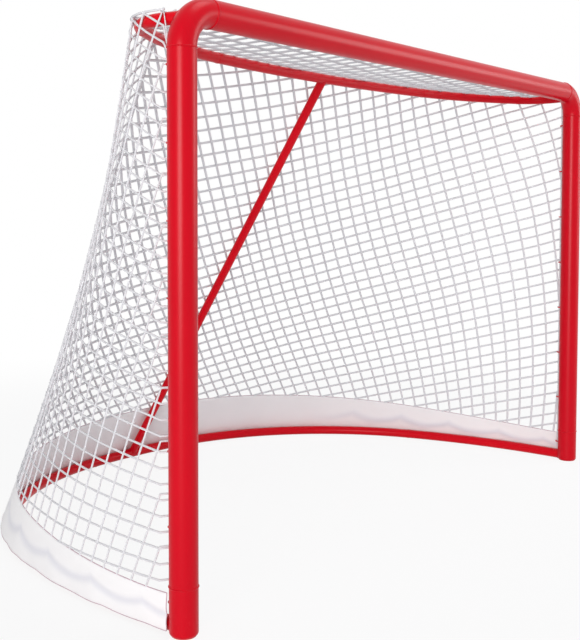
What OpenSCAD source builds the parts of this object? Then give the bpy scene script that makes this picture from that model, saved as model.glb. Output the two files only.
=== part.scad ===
// Ice hockey goal: welded tube frame, laced net and fabric skirt.
// The goal stands on the ice at Z = 0. The mouth faces -Y, and X = 0 is its middle.

/* [Mouth] */
// Clear width between the posts
mouth_w = 1830; // [1500:5:2000]
// Clear height from the ice to the underside of the crossbar
mouth_h = 1220; // [1000:5:1400]

/* [Front frame] */
// Outside diameter of the posts and crossbar
post_d = 60.3; // [55:0.1:66]
// Wall of the posts and crossbar
post_wall = 3.9; // [3:0.1:5]
// Centreline radius of the corner elbows
elbow_r = 76.2; // [60:0.1:110]

/* [Post feet] */
// Height of the solid foot below the post tube
foot_h = 100; // [90:1:130]
// Length of the spigot that the foot puts up into the tube
foot_spigot_h = 25; // [15:1:40]
// Clearance round the spigot
foot_spigot_gap = 0.2; // [0.1:0.05:0.5]
// Radius of the rounded lower edge of the foot
foot_edge_r = 8; // [3:0.5:9]
// Bore of the peg socket
peg_bore_d = 38.5; // [30:0.5:40]
// Depth of the peg socket
peg_bore_h = 85; // [60:1:88]

/* [Top bar] */
// Outside diameter of the top bar
bar_d = 26.9; // [22:0.1:30]
// Wall of the top bar and the centre strut
bar_wall = 2.6; // [2:0.1:3.2]
// Outside diameter of the centre strut
strut_d = 25.4; // [20:0.1:26]
// Where the arms meet the elbows, in degrees up from the post
arm_angle = 55; // [40:1:60]
// Depth of the top bar behind the mouth
top_depth = 350; // [340:1:370]
// Outward flare of the arms, in degrees
arm_flare = 42; // [38:1:46]
// Radius of the bow across the back of the top bar
top_bow_r = 3550; // [3000:50:4000]

/* [Base frame] */
// Outside diameter of the base frame
base_d = 30; // [25:0.1:34]
// Wall of the base frame
base_wall = 3; // [2.5:0.1:4]
// Depth of the base frame behind the mouth
base_depth = 1168; // [1140:2:1200]
// Outward flare of the base frame at the posts, in degrees
base_flare = 4; // [2:1:8]
// Radius of the bow across the back of the base frame
base_bow_r = 2000; // [1600:20:2400]

/* [Lacing] */
// Diameter of the border rope of the net
rope_d = 6; // [4:0.5:7]
// Wire of the lacing eyelets
eyelet_wire_d = 4; // [3:0.5:5]
// Centreline radius of the lacing eyelets
eyelet_r = 9; // [9:0.5:11]
// Eyelets on each post
post_eyelets = 8; // [5:1:10]
// Eyelets on the crossbar
bar_eyelets = 11; // [6:1:13]
// Height of the lowest eyelet
eyelet_low = 60; // [50:1:120]
// Direction of the eyelets on a post, in degrees outward from straight back
eyelet_turn = 0; // [-5:1:10]
// Distance of the top eyelet of a post below the elbow
eyelet_end = 30; // [25:1:60]
// Distance of the end eyelets of the crossbar from the elbows
bar_eyelet_end = 45; // [30:1:80]
// Distance of the lower end of the border rope above the base frame
rope_foot = 10; // [5:1:15]
// Distance of the upper end of the border rope below the elbow
rope_head = 8; // [5:1:15]
// Running clearance between soft parts and the frame
clear = 0.3; // [0.2:0.05:0.5]

/* [Net] */
// Thickness of the net
net_t = 4; // [3:0.5:5]
// Width of each strand
strand_w = 6; // [4:0.5:8]
// Rows of gaps down the net
net_rows = 9; // [5:1:9]
// How far the net hangs inward between its supports
net_sag = 4; // [0:0.5:8]
// Gap left at the laced seams
seam = 0.5; // [0.4:0.1:1]
// How far the net stands off the side of the top bar
net_stand = 3; // [3:0.5:8]

/* [Skirt] */
// Height of the skirt at the posts
skirt_side_h = 85; // [60:1:120]
// Height of the skirt at the back
skirt_rear_h = 185; // [130:1:200]
// Thickness of the skirt with its hem
skirt_t = 2.4; // [1.5:0.1:3]
// How far the folds stand out at the hem
fold_out = 9; // [4:1:14]
// Folds in each half of the skirt
folds = 9; // [3:1:10]
// Lowest point of the hem above the ice
hem_low = 2; // [1:0.5:4]
// How far the hem lifts between the folds
hem_lift = 7; // [2:1:10]

/* [Hidden] */
tube_facets = 48;
$fn = tube_facets;

frame_red = [0.80, 0.02, 0.11];
bar_red = [0.85, 0.0, 0.12];
twine_white = [0.88, 0.89, 0.90];
cloth_white = [0.96, 0.96, 0.97];

// Front frame, from the clear opening and the tube
post_r = post_d / 2;
half_w = mouth_w / 2 + post_r;
cross_z = mouth_h + post_r;
elbow_z = cross_z - elbow_r;
elbow_x = half_w - elbow_r;

// Butt welds of the bent tubes
weld_l = 8;
weld_rise = 0.5;
backing_t = 1;
root_gap = 1;

// Top bar and base frame
bar_r = bar_d / 2;
base_r = base_d / 2;
base_z = base_r + weld_rise;
top_z = elbow_z + elbow_r * sin(arm_angle);
top_half_w = elbow_x + elbow_r * cos(arm_angle);
// Headings where the arcs of a plan meet
arm_end_turn = 58;
shoulder_end_turn = 82;
side_end_turn = 17;
corner_end_turn = 85;

// A half plan runs from a post to the middle of the back in three arcs that turn right, each tangent to
// the last. An arc is [radius, heading in, heading out, start, length so far]. A heading is in degrees
// from straight back, and the last is square to it. The first two radii follow from the width and depth.
function after(p, r, a, b) = p + r * [cos(a) - cos(b), sin(b) - sin(a)];
function arc_len(r, a, b) = r * (b - a) * PI / 180;
function half_plan(w, depth, flare, r3, t1, t2) = let(
    m = [[cos(flare) - cos(t1), cos(t1) - cos(t2)], [sin(t1) + sin(flare), sin(t2) - sin(t1)]],
    p = w - r3 * cos(t2),
    q = depth - r3 * (1 - sin(t2)),
    det = m[0][0] * m[1][1] - m[0][1] * m[1][0],
    r1 = (p * m[1][1] - q * m[0][1]) / det,
    r2 = (q * m[0][0] - p * m[1][0]) / det,
    p1 = [-w, 0],
    p2 = after(p1, r1, -flare, t1),
    p3 = after(p2, r2, t1, t2),
    s2 = arc_len(r1, -flare, t1),
    s3 = s2 + arc_len(r2, t1, t2))
    [[r1, -flare, t1, p1, 0], [r2, t1, t2, p2, s2], [r3, t2, 90, p3, s3]];
function plan_len(plan) = plan[2][4] + arc_len(plan[2][0], plan[2][1], plan[2][2]);

// Point at a length along a half plan, moved outward
function plan_at(plan, s, out) = let(
    i = s < plan[1][4] ? 0 : s < plan[2][4] ? 1 : 2,
    a = plan[i],
    h = a[1] + (s - a[4]) / a[0] * 180 / PI)
    after(a[3], a[0], a[1], h) + out * [-cos(h), sin(h)];

top_plan = half_plan(top_half_w, top_depth, arm_flare, top_bow_r, arm_end_turn, shoulder_end_turn);
base_plan = half_plan(half_w, base_depth, base_flare, base_bow_r, side_end_turn, corner_end_turn);

// Eyelets, and the border rope that their outer side holds
eyelet_reach = eyelet_r + eyelet_wire_d / 2;
rope_out = post_r + eyelet_r - eyelet_wire_d / 2 - clear - rope_d / 2;
rope_low = base_d + rope_foot;
rope_top = elbow_z - rope_head;
eyelet_high = elbow_z - eyelet_end;
bar_eyelet_x = elbow_x - bar_eyelet_end;

// The net wall runs from the top edge, round the top bar, to the outside of the base frame
net_front = post_r + eyelet_reach + clear;
top_out = bar_r + clear + net_t / 2 + net_stand;
lean_allowance = 1.24;
base_out = (base_r + clear + skirt_t / 2) * lean_allowance;
sheet_z = top_z + bar_r + weld_rise + clear + net_t / 2;
wall_top_z = sheet_z + net_t / 2;
// Lengths of bare bar between a post and the net
top_start = 52;
base_start = 48;
wall_h = wall_top_z - base_z;

// u runs from -1 at the left post over 0 at the middle of the back to 1 at the right post
function mirrored(u, p) = [u > 0 ? -p[0] : p[0], p[1]];
function along(plan, first, share) = first + share * (plan_len(plan) - first);
function top_point(u, share, out) = mirrored(u, plan_at(top_plan, along(top_plan, top_start, share), out));
function base_at(u, out) = mirrored(u, plan_at(base_plan, along(base_plan, base_start, 1 - abs(u)), out));
// The top of the wall is gathered toward the posts, where this share of its even spacing is left
top_gather = 0.35;
function gathered(share) = share * (top_gather + (1 - top_gather) * share);
function top_at(u, out) = top_point(u, gathered(1 - abs(u)), out);
function sag_at(u, t) = net_sag * 16 * abs(u) * (1 - abs(u)) * t * (1 - t);
// Point on the wall: t is 0 at the top and 1 at the middle of the base tube, out is the outward offset
function wall_at(u, t, out) = let(
    top = top_at(u, top_out + out - sag_at(u, max(0, min(1, t)))),
    foot = base_at(u, base_out + out - sag_at(u, max(0, min(1, t)))))
    [for (i = [0, 1]) top[i] + (foot[i] - top[i]) * t];
skirt_rise = 1.5;
function skirt_h(u) = skirt_side_h + (skirt_rear_h - skirt_side_h) * pow(sin(90 * (1 - abs(u))), skirt_rise);
fold_growth = 1.5;
function fold_wave(u) = (1 + cos(360 * folds * u)) / 2;
function hem_z(u) = hem_low + hem_lift * (1 - fold_wave(u));
function t_at(z) = (wall_top_z - z) / wall_h;

// Point on the net: v is 0 at its top edge and 1 at the top of the skirt
function net_at(u, v, side) = let(
    z = wall_top_z + (skirt_h(u) + clear - wall_top_z) * v,
    p = wall_at(u, t_at(z), (side - 0.5) * net_t))
    [p[0], p[1], z];
// Point on the skirt: v is 0 at its top edge and 1 at the hem
function skirt_at(u, v, side) = let(
    z = skirt_h(u) + (hem_z(u) - skirt_h(u)) * v,
    p = wall_at(u, t_at(z), (side - 0.5) * skirt_t + fold_out * fold_wave(u) * pow(v, fold_growth)))
    [p[0], p[1], z];
// The top sheet turns down into the corners of the wall short of its front ends
top_sheet_turn = 0.9;
// Point on the top sheet: v is 0 behind the crossbar and 1 at the wall
function sheet_at(u, v, side) = let(
    rear = top_point(u, 1 - abs(u) * top_sheet_turn, top_out - net_t / 2 - clear),
    front = [u * top_at(1, top_out - net_t / 2 - clear)[0], net_front])
    [front[0] + (rear[0] - front[0]) * v, front[1] + (rear[1] - front[1]) * v,
        sheet_z + (side - 0.5) * net_t];

// The whole goal is centred in depth on its own box
rear_y = skirt_at(0, 1, 1)[1];
mid_y = (rear_y - post_r) / 2;

// Seams of the net and skirt, as u, and the gaps across each part of the net
seam_side = 0.73;
seam_corner = 0.37;
half_seam_u = seam / 2 / plan_len(base_plan);
side_cols = 5;
wall_cols = 4;
top_cols = 12;
top_rows = 3;
fold_cols = 18;
fold_rows = 3;

// Edges of the strands across a span: a strand at each end, and gaps between
function strands(from, to, gaps, width) = [for (i = [0:gaps], e = [-1, 1])
    from + width / 2 + (to - from - width) * i / gaps + e * width / 2];
function steps(from, to, count) = [for (i = [0:count]) from + (to - from) * i / count];

module placed() {
    translate([0, -mid_y, 0]) children();
}

// Left side as drawn, right side mirrored
module sided(side) {
    mirror([side > 0 ? 1 : 0, 0, 0]) children();
}

module straight_tube(d, wall, h) {
    difference() {
        cylinder(d = d, h = h);
        translate([0, 0, -1]) cylinder(d = d - 2 * wall, h = h + 2);
    }
}

module ring(d, wall) {
    difference() {
        circle(d = d, $fn = tube_facets);
        circle(d = d - 2 * wall, $fn = tube_facets);
    }
}

// Part of one arc of a plan, between two headings, swept with the profile given as children
module plan_arc(a, in, out) {
    centre = a[3] + a[0] * [cos(a[1]), -sin(a[1])];
    translate([centre[0], centre[1], 0]) rotate([0, 0, 180 - out])
        rotate_extrude(angle = out - in, $fn = 360) translate([a[0], 0]) children();
}

// The weld at the start of an arc, with its backing ring
module weld(a, d, wall) {
    translate([a[3][0], a[3][1], 0]) rotate([-90, 0, -a[1]]) translate([0, 0, -weld_l / 2])
        straight_tube(d + 2 * weld_rise, wall + weld_rise + backing_t, weld_l);
}

// A whole bent tube: two arcs each side, and one across the back, welded end to end
module bent_tube(plan, d, wall) {
    trim = [for (a = plan) root_gap / 2 / a[0] * 180 / PI];
    for (side = [-1, 1]) sided(side) {
        plan_arc(plan[0], plan[0][1], plan[0][2] - trim[0]) ring(d, wall);
        plan_arc(plan[1], plan[1][1] + trim[1], plan[1][2] - trim[1]) ring(d, wall);
        weld(plan[1], d, wall);
        weld(plan[2], d, wall);
    }
    plan_arc(plan[2], plan[2][1] + trim[2], 180 - plan[2][1] - trim[2]) ring(d, wall);
}

// A sheet of flat cells. u and v are the lines of its cells, and each odd pair of spans is a gap in a net
module sheet(us, vs, point, gaps) {
    nu = len(us);
    nv = len(vs);
    pts = [for (side = [0, 1], u = us, v = vs) point(u, v, side)];
    id = function (side, i, j) (side * nu + i) * nv + j;
    full = function (i, j) i >= 0 && j >= 0 && i < nu - 1 && j < nv - 1
        && !(gaps && i % 2 == 1 && j % 2 == 1);
    quad = function (a, b, c, d) [[a, b, c], [a, c, d]];
    faces = [for (i = [0:nu - 2], j = [0:nv - 2]) if (full(i, j)) each [
        each quad(id(1, i, j), id(1, i + 1, j), id(1, i + 1, j + 1), id(1, i, j + 1)),
        each quad(id(0, i, j), id(0, i, j + 1), id(0, i + 1, j + 1), id(0, i + 1, j)),
        if (!full(i - 1, j)) each quad(id(1, i, j), id(1, i, j + 1), id(0, i, j + 1), id(0, i, j)),
        if (!full(i + 1, j)) each quad(id(0, i + 1, j), id(0, i + 1, j + 1), id(1, i + 1, j + 1), id(1, i + 1, j)),
        if (!full(i, j - 1)) each quad(id(0, i, j), id(0, i + 1, j), id(1, i + 1, j), id(1, i, j)),
        if (!full(i, j + 1)) each quad(id(1, i, j + 1), id(1, i + 1, j + 1), id(0, i + 1, j + 1), id(0, i, j + 1))]];
    polyhedron(pts, faces, convexity = 8);
}

// Front frame
module post(side) {
    color(frame_red) placed() translate([side * half_w, 0, foot_h])
        straight_tube(post_d, post_wall, elbow_z - foot_h);
}

module foot(side) {
    color(frame_red) placed() translate([side * half_w, 0, 0]) rotate_extrude() difference() {
        union() {
            translate([0, foot_edge_r]) square([post_r, foot_h - foot_edge_r]);
            square([post_r - foot_edge_r, foot_h]);
            translate([post_r - foot_edge_r, foot_edge_r]) intersection() {
                circle(foot_edge_r);
                translate([0, -foot_edge_r]) square(foot_edge_r);
            }
            square([post_r - post_wall - foot_spigot_gap, foot_h + foot_spigot_h]);
        }
        translate([-1, -1]) square([peg_bore_d / 2 + 1, peg_bore_h + 1]);
    }
}

module elbow_sweep() {
    translate([-elbow_x, 0, elbow_z]) rotate([90, 0, 0]) rotate([0, 0, 90])
        rotate_extrude(angle = 90, $fn = 96) translate([elbow_r, 0]) children();
}

module corner_bend(side) {
    color(frame_red) placed() sided(side) elbow_sweep() ring(post_d, post_wall);
}

module crossbar() {
    color(frame_red) placed() translate([-elbow_x, 0, cross_z]) rotate([0, 90, 0])
        straight_tube(post_d, post_wall, 2 * elbow_x);
}

// Rear frame
module top_bar() {
    color(bar_red) placed() difference() {
        translate([0, 0, top_z]) bent_tube(top_plan, bar_d, bar_wall);
        for (side = [-1, 1]) sided(side) elbow_sweep() circle(d = post_d, $fn = tube_facets);
    }
}

module base_frame() {
    color(bar_red) placed() difference() {
        translate([0, 0, base_z]) bent_tube(base_plan, base_d, base_wall);
        for (side = [-1, 1]) translate([side * half_w, 0, 0]) cylinder(d = post_d, h = foot_h);
    }
}

// A length of the bar that an end of the strut is cut to fit
module strut_cope(d, y, z) {
    translate([-strut_d, y, z]) rotate([0, 90, 0]) cylinder(d = d, h = 2 * strut_d);
}

module centre_strut() {
    rise = top_z - base_z;
    run = base_depth - top_depth;
    color(bar_red) placed() difference() {
        translate([0, base_depth, base_z]) rotate([atan2(run, rise), 0, 0])
            straight_tube(strut_d, bar_wall, norm([run, rise]));
        strut_cope(bar_d, top_depth, top_z);
        strut_cope(base_d, base_depth, base_z);
    }
}

// Lacing
module post_eyelet_row(side) {
    color(frame_red) placed() sided(side) translate([-half_w, 0, 0]) rotate([0, 0, eyelet_turn])
        difference() {
            for (z = steps(eyelet_low, eyelet_high, post_eyelets - 1)) translate([0, post_r, z])
                rotate_extrude() translate([eyelet_r, 0]) circle(d = eyelet_wire_d, $fn = 24);
            cylinder(d = post_d, h = elbow_z);
        }
}

module crossbar_eyelets() {
    color(frame_red) placed() difference() {
        for (x = steps(-bar_eyelet_x, bar_eyelet_x, bar_eyelets - 1)) translate([x, post_r, cross_z])
            rotate([0, 90, 0]) rotate_extrude() translate([eyelet_r, 0]) circle(d = eyelet_wire_d, $fn = 24);
        translate([-elbow_x, 0, cross_z]) rotate([0, 90, 0]) cylinder(d = post_d, h = 2 * elbow_x);
    }
}

module border_rope(side) {
    color(twine_white) placed() sided(side) translate([-half_w, 0, rope_low])
        rotate([0, 0, eyelet_turn]) translate([0, rope_out, 0]) cylinder(d = rope_d, h = rope_top - rope_low);
}

module crossbar_border_rope() {
    color(twine_white) placed() translate([-elbow_x, rope_out, cross_z]) rotate([0, 90, 0])
        cylinder(d = rope_d, h = 2 * elbow_x);
}

// Net and skirt
module net_wall(from, to, cols) {
    mid_len = (plan_len(top_plan) + plan_len(base_plan)) / 2;
    color(twine_white) placed() sheet(
        strands(from + half_seam_u, to - half_seam_u, cols, strand_w / mid_len),
        strands(0, 1, net_rows, strand_w / wall_h),
        function (u, v, side) net_at(u, v, side), true);
}

module net_top() {
    color(twine_white) placed() sheet(
        strands(-1, 1, top_cols, strand_w / top_half_w),
        strands(0, 1, top_rows, strand_w / top_depth),
        function (u, v, side) sheet_at(u, v, side), true);
}

module skirt(from, to) {
    color(cloth_white) placed() sheet(
        steps(from + half_seam_u, to - half_seam_u, fold_cols),
        steps(0, 1, fold_rows),
        function (u, v, side) skirt_at(u, v, side), false);
}

post(-1);  // left_post
post(1);  // right_post
foot(-1);  // left_foot
foot(1);  // right_foot
corner_bend(-1);  // left_corner_bend
corner_bend(1);  // right_corner_bend
crossbar();
top_bar();
base_frame();
centre_strut();
post_eyelet_row(-1);  // left_post_eyelets
post_eyelet_row(1);  // right_post_eyelets
crossbar_eyelets();
border_rope(-1);  // left_border_rope
border_rope(1);  // right_border_rope
crossbar_border_rope();
net_top();
net_wall(-1, -seam_side, side_cols);  // net_left_side
net_wall(-seam_side, -seam_corner, wall_cols);  // net_left_corner
net_wall(-seam_corner, 0, wall_cols);  // net_rear_left
net_wall(0, seam_corner, wall_cols);  // net_rear_right
net_wall(seam_corner, seam_side, wall_cols);  // net_right_corner
net_wall(seam_side, 1, side_cols);  // net_right_side
skirt(-1, -seam_side);  // skirt_left_side
skirt(-seam_side, -seam_corner);  // skirt_left_corner
skirt(-seam_corner, 0);  // skirt_rear_left
skirt(0, seam_corner);  // skirt_rear_right
skirt(seam_corner, seam_side);  // skirt_right_corner
skirt(seam_side, 1);  // skirt_right_side
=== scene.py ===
"""Looks of an ice hockey goal: painted tube frame, knotted twine net and fabric skirt.

Everything is in metres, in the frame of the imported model: Z is up from the ice, the mouth faces -Y and
X = 0 is its middle. A place on the net or the skirt is given by u, from -1 at the left post over 0 at
the middle of the back to 1 at the right post, and by t, from 0 at the top to 1 at the base tube.
"""
from __future__ import annotations

import logging
import math
from dataclasses import dataclass, field
from enum import Enum
from typing import Callable, Iterator, Optional, Sequence, Union

import bmesh
import bpy
from mathutils import Matrix, Vector, noise

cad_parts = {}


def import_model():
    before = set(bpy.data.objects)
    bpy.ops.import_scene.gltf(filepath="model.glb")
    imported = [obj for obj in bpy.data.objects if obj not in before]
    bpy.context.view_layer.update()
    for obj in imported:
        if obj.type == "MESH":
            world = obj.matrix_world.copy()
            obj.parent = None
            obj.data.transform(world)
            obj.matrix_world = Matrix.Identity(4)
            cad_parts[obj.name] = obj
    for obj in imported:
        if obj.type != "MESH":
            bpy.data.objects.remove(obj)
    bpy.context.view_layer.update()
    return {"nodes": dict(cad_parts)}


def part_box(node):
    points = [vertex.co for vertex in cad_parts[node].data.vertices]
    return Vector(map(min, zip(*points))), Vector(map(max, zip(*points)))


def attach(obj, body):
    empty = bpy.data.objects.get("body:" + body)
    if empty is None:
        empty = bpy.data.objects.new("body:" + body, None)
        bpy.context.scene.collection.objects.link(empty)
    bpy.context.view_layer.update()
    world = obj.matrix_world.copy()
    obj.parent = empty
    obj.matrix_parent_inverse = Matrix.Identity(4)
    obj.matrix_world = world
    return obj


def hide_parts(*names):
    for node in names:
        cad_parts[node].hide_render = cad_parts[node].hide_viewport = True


LOG = logging.getLogger("goal")
BODY = "root"
Colour = tuple[float, float, float]
Number = Union[int, float]
Path3 = list[Vector]
Place = tuple[float, float]
WHITE: Colour = (1.0, 1.0, 1.0)


class Side(Enum):
    """The two sides of the goal, by the sign of X."""

    LEFT = -1
    RIGHT = 1

    @property
    def word(self) -> str:
        """The side's name as the nodes spell it."""
        return self.name.lower()


def srgb(red: int, green: int, blue: int) -> Colour:
    """Turns a colour of 0 to 255 into the linear colour that a shader takes.

    Args:
        red: Red part, 0 to 255.
        green: Green part, 0 to 255.
        blue: Blue part, 0 to 255.

    Returns:
        The linear colour.
    """
    knee, foot, gamma, lift = 0.04045, 12.92, 2.4, 0.055
    parts = [part / 255 for part in (red, green, blue)]
    return tuple(c / foot if c <= knee else ((c + lift) / (1 + lift)) ** gamma for c in parts)


# --------------------------------------------------------------------- measuring


def clamp(value: float, low: float = 0.0, high: float = 1.0) -> float:
    """Keeps a value between two limits."""
    return min(max(value, low), high)


def hump(share: float) -> float:
    """Height of a hump over a span: 0 at both ends and 1 in the middle."""
    return 4 * share * (1 - share)


def heading(degrees: float) -> Vector:
    """Unit vector in plan, turned from +X toward the back."""
    return Vector((math.cos(math.radians(degrees)), math.sin(math.radians(degrees))))


def left_of(way: Vector) -> Vector:
    """A direction in plan, turned a quarter to its left."""
    return Vector((-way.y, way.x))


def on_circle(side: Vector, other: Vector, angle: float) -> Vector:
    """Point of the circle that two directions span, at an angle in radians."""
    return side * math.cos(angle) + other * math.sin(angle)


def halve(holds: Callable[[float], bool], inner: float, outer: float, rounds: int) -> Place:
    """Closes in on the edge between a value that holds and one that doesn't.

    Args:
        holds: Whether a value is on the inner side.
        inner: A value on the inner side.
        outer: A value on the outer side.
        rounds: How often the span is halved.

    Returns:
        The nearest inner and outer values.
    """
    for _ in range(rounds):
        middle = (inner + outer) / 2
        if holds(middle):
            inner = middle
        else:
            outer = middle
    return inner, outer


# ---------------------------------------------------------------- shader maths


class Sock:
    """A shader socket that takes part in sums, so that maths reads as Python."""

    def __init__(self, graph: "Graph", socket: bpy.types.NodeSocket) -> None:
        """Keeps an output socket and the graph that new Math nodes go into."""
        self.graph = graph
        self.socket = socket

    def _math(self, operation: str, first: "Sock | Number", second: "Sock | Number") -> "Sock":
        """Adds one Math node."""
        return self.graph.node("ShaderNodeMath", {"operation": operation}, {0: first, 1: second})

    def __add__(self, other: "Sock | Number") -> "Sock":
        """Sum."""
        return self._math("ADD", self, other)

    def __radd__(self, other: Number) -> "Sock":
        """Sum, reflected."""
        return self._math("ADD", other, self)

    def __sub__(self, other: "Sock | Number") -> "Sock":
        """Difference."""
        return self._math("SUBTRACT", self, other)

    def __rsub__(self, other: Number) -> "Sock":
        """Difference, reflected."""
        return self._math("SUBTRACT", other, self)

    def __mul__(self, other: "Sock | Number") -> "Sock":
        """Product."""
        return self._math("MULTIPLY", self, other)

    def __rmul__(self, other: Number) -> "Sock":
        """Product, reflected."""
        return self._math("MULTIPLY", other, self)

    def at_most(self, other: "Sock | Number") -> "Sock":
        """The smaller of two values."""
        return self._math("MINIMUM", self, other)

    def at_least(self, other: "Sock | Number") -> "Sock":
        """The larger of two values."""
        return self._math("MAXIMUM", self, other)


class Graph:
    """The node tree of one material, or of the room."""

    def __init__(self, owner: Union[bpy.types.Material, bpy.types.World]) -> None:
        """Turns the nodes on.

        Args:
            owner: The material or the world.
        """
        owner.use_nodes = True
        self.owner = owner
        self.tree = owner.node_tree

    def node(self, kind: str, settings: Optional[dict] = None, inputs: Optional[dict] = None,
             out: Union[int, str] = 0) -> Sock:
        """Adds any node.

        Args:
            kind: The node's type.
            settings: The node's own settings.
            inputs: Values or links by socket name or number.
            out: Which output is returned.

        Returns:
            The chosen output.
        """
        made = self.tree.nodes.new(kind)
        for key, value in (settings or {}).items():
            setattr(made, key, value)
        for key, value in (inputs or {}).items():
            self.feed(made.inputs[key], value)
        return Sock(self, made.outputs[out])

    def own(self, name: str) -> Sock:
        """First output of a node that the tree starts with."""
        return Sock(self, self.tree.nodes[name].outputs[0])

    def feed(self, socket: bpy.types.NodeSocket, value: "Sock | Number | Sequence[float]") -> None:
        """Links a socket or sets its value.

        Args:
            socket: The input.
            value: A Sock, a number, a vector or a colour.
        """
        if isinstance(value, Sock):
            self.tree.links.new(value.socket, socket)
        elif isinstance(value, (int, float)):
            socket.default_value = value
        elif socket.type == "RGBA" and len(value) == 3:
            socket.default_value = (*value, 1.0)
        else:
            socket.default_value = tuple(value)

    def principled(self, **inputs: "Sock | Number | Sequence[float]") -> None:
        """Feeds the Principled shader.

        Args:
            inputs: Values or links by socket; base_color stands for Base Color.
        """
        sockets = self.tree.nodes["Principled BSDF"].inputs
        for key, value in inputs.items():
            words = key.replace("ior", "IOR").split("_")
            self.feed(sockets[" ".join(w if w == "IOR" else w.capitalize() for w in words)], value)

    def place(self) -> Sock:
        """Object coordinates, in metres."""
        return self.node("ShaderNodeTexCoord", out="Object")

    def noise(self, vector: Sock, scale: float, detail: float = 3.0, roughness: float = 0.5) -> Sock:
        """A noise from 0 to 1.

        Args:
            vector: Coordinates.
            scale: Features per metre.
            detail: Octaves.
            roughness: Strength of the fine octaves.

        Returns:
            The noise.
        """
        return self.node("ShaderNodeTexNoise", inputs={
            "Vector": vector, "Scale": scale, "Detail": detail, "Roughness": roughness})

    def step(self, value: Sock, low: float, high: float) -> Sock:
        """A smooth step.

        Args:
            value: What is stepped.
            low: Value at which the step starts.
            high: Value at which it ends.

        Returns:
            0 below low and 1 above high.
        """
        return self.node("ShaderNodeMapRange", {"interpolation_type": "SMOOTHSTEP"},
                         {"Value": value, "From Min": low, "From Max": high})

    def mix(self, factor: "Sock | Number", first: "Sock | Colour", second: "Sock | Colour") -> Sock:
        """A mix of two colours, with the factor as the share of the second."""
        return self.node("ShaderNodeMix", {"data_type": "RGBA"}, {0: factor, 6: first, 7: second}, out=2)

    def bump(self, height: Sock, distance: float) -> Sock:
        """A normal bent by a height of 0 to 1, where 1 stands for the distance in metres."""
        return self.node("ShaderNodeBump", inputs={"Height": height, "Distance": distance,
                                                   "Strength": 1.0})

    def show_white(self, plain: Sock, white: Sock, output: str, share: "Sock | Number" = 1.0) -> None:
        """Ends the tree so that the camera, gloss and glass see white, and other rays see it plain.

        Args:
            plain: Shader for the other rays.
            white: White shader.
            output: Name of the output node.
            share: How much of the white is shown.
        """
        camera, gloss, glass = (self.node("ShaderNodeLightPath", out=f"Is {kind} Ray")
                                for kind in ("Camera", "Glossy", "Transmission"))
        seen = camera.at_least(gloss).at_least(glass)
        mixed = self.node("ShaderNodeMixShader", inputs={0: seen * share, 1: plain, 2: white})
        self.feed(self.tree.nodes[output].inputs["Surface"], mixed)


# -------------------------------------------------------------------- finishes


@dataclass(frozen=True)
class PaintedSteel:
    """Baked red paint on steel tube: an even gloss with a faint orange peel and ice scuffs near the floor."""

    name: str
    colour: Colour
    roughness: float = 0.27
    gloss: float = 0.15
    cloud_scale: float = 5.0
    cloud_rough: float = 0.06
    worn: float = 0.86
    faded: float = 0.02
    peel_scale: float = 420.0
    peel_depth: float = 0.00004
    scuff_height: float = 0.09
    scuff_share: float = 0.5
    scuff_rough: float = 0.3
    scratch_scale: float = 90.0
    scratch_fine: float = 0.7
    scratches: tuple[float, float] = (0.56, 0.66)

    def build(self) -> bpy.types.Material:
        """Makes the material.

        Returns:
            The material.
        """
        graph = Graph(bpy.data.materials.new(self.name))
        place = graph.place()
        cloud = graph.noise(place, self.cloud_scale, detail=4)
        worn = tuple(c * self.worn for c in self.colour)
        faded = tuple(c + self.faded for c in self.colour)
        paint = graph.mix(cloud, worn, self.colour)
        height = graph.node("ShaderNodeSeparateXYZ", inputs={0: place}, out="Z")
        low = 1 - graph.step(height, 0.0, self.scuff_height)
        grit = graph.noise(place, self.scratch_scale, detail=6, roughness=self.scratch_fine)
        scuff = low * graph.step(grit, *self.scratches) * self.scuff_share
        graph.principled(
            base_color=graph.mix(scuff, paint, faded),
            roughness=self.roughness + cloud * self.cloud_rough + scuff * self.scuff_rough,
            normal=graph.bump(graph.noise(place, self.peel_scale, detail=2), self.peel_depth),
            specular_ior_level=self.gloss)
        return graph.owner


@dataclass(frozen=True)
class TwistedTwine:
    """White nylon twine: matt, a little fuzzy, with the lay of its yarns as a fine bump."""

    name: str
    colour: Colour
    shade: Colour
    yarn_scale: float = 900.0
    yarn_depth: float = 0.0005
    lay_bend: float = 1.5
    lay_share: float = 0.6
    fibre_bump: float = 0.4
    soil_scale: float = 14.0
    soil_share: float = 0.6
    fibre_share: float = 0.2
    roughness: float = 0.72
    fibre_rough: float = 0.12
    gloss: float = 0.25
    fuzz: float = 0.15

    def build(self) -> bpy.types.Material:
        """Makes the material.

        Returns:
            The material.
        """
        graph = Graph(bpy.data.materials.new(self.name))
        place = graph.place()
        soil = graph.noise(place, self.soil_scale, detail=4)
        fibre = graph.noise(place, self.yarn_scale, detail=2)
        lay = graph.node("ShaderNodeTexWave", {"wave_type": "BANDS", "bands_direction": "DIAGONAL"}, {
            "Vector": place, "Scale": self.yarn_scale / 4, "Distortion": self.lay_bend, "Detail": 1.0},
            out="Fac")
        graph.principled(
            base_color=graph.mix(soil * self.soil_share + fibre * self.fibre_share, self.colour, self.shade),
            roughness=self.roughness + fibre * self.fibre_rough,
            normal=graph.bump(lay * self.lay_share + fibre * self.fibre_bump, self.yarn_depth),
            specular_ior_level=self.gloss, sheen_weight=self.fuzz)
        return graph.owner


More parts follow.
